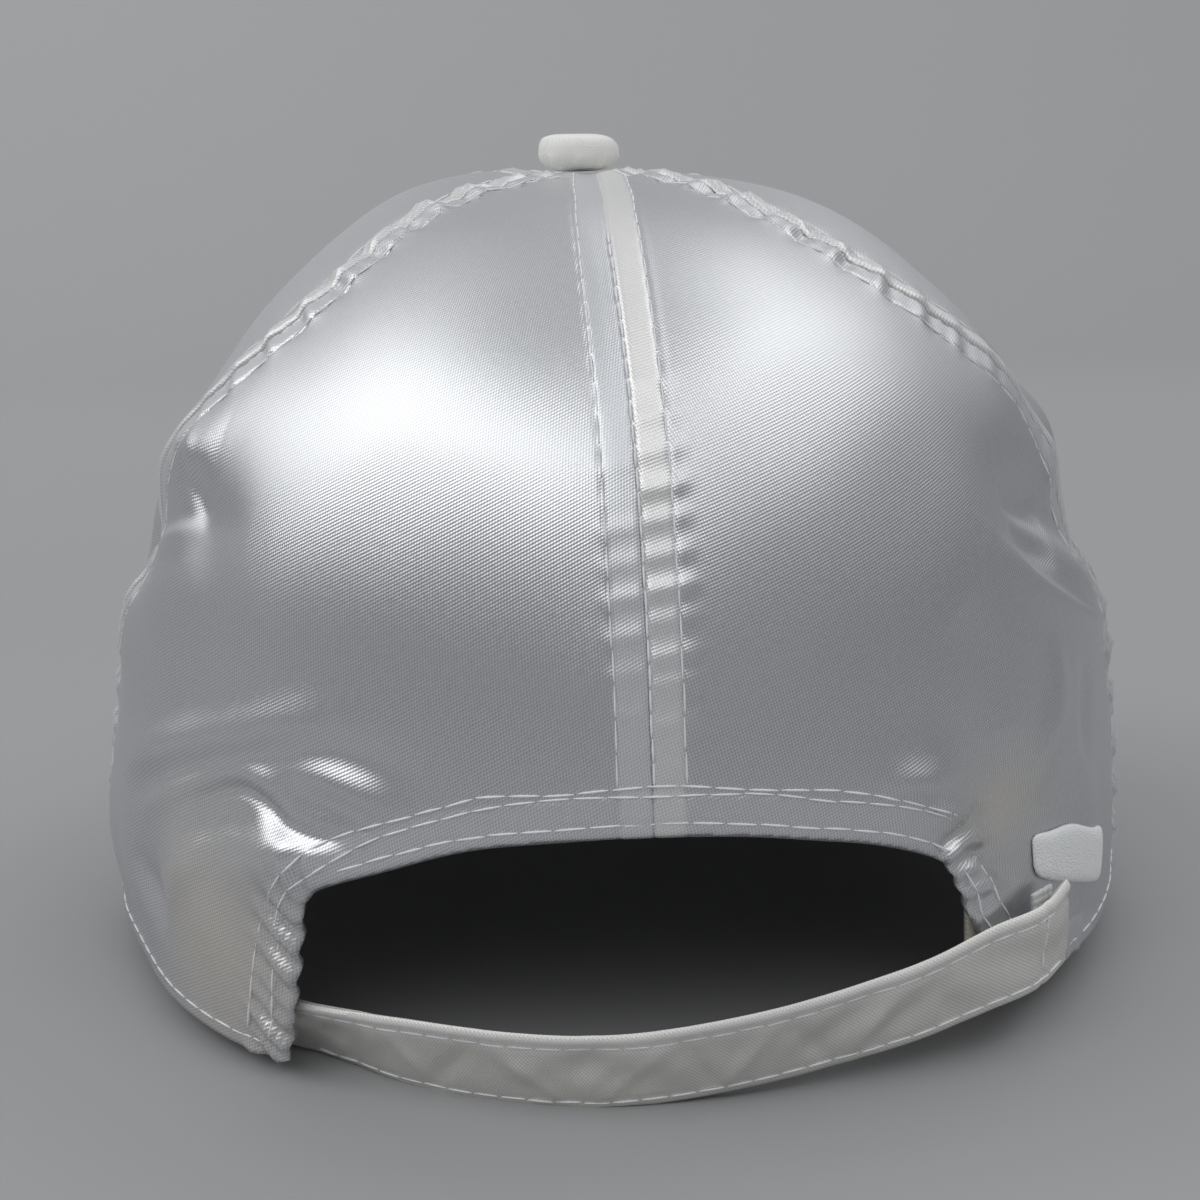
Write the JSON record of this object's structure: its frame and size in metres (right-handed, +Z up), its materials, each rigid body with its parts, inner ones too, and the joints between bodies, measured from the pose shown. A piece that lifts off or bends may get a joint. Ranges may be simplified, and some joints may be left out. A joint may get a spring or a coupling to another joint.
{
  "type": "five-panel cap",
  "caption": "Thin satin cap with a curved peak, a cloth-covered top button and an arched back opening closed by a hook-and-loop strap.",
  "frame": {"origin": "on the surface that the cap rests on, under the middle of the whole cap", "axes": "+Z up, -Y towards the peak's tip, +Y towards the arched back opening, +X towards the wearer's left"},
  "size_m": [0.1843, 0.2674, 0.1423],
  "materials": {
    "satin_cloth": "white polyester satin, smooth side out, bright and glossy along the folds",
    "satin_board": "white polyester satin over a stiff board",
    "strap_cloth": "ivory-grey satin, folded double",
    "cotton_band": "matte cotton twill",
    "loop_pile": "matte white nylon loop pile",
    "hook_pile": "matte white nylon hooks",
    "button_cloth": "ivory satin drawn tight over a metal button"
  },
  "bodies": {
    "root": {"back_panel_left": "satin_cloth", "back_panel_right": "satin_cloth", "side_panel_left": "satin_cloth", "side_panel_right": "satin_cloth", "front_panel": "satin_cloth", "peak": "satin_board", "sweatband": "cotton_band", "closure_strap": "strap_cloth", "loop_tape": "loop_pile", "hook_tape": "hook_pile", "top_button": "button_cloth"}
  },
  "joints": []
}
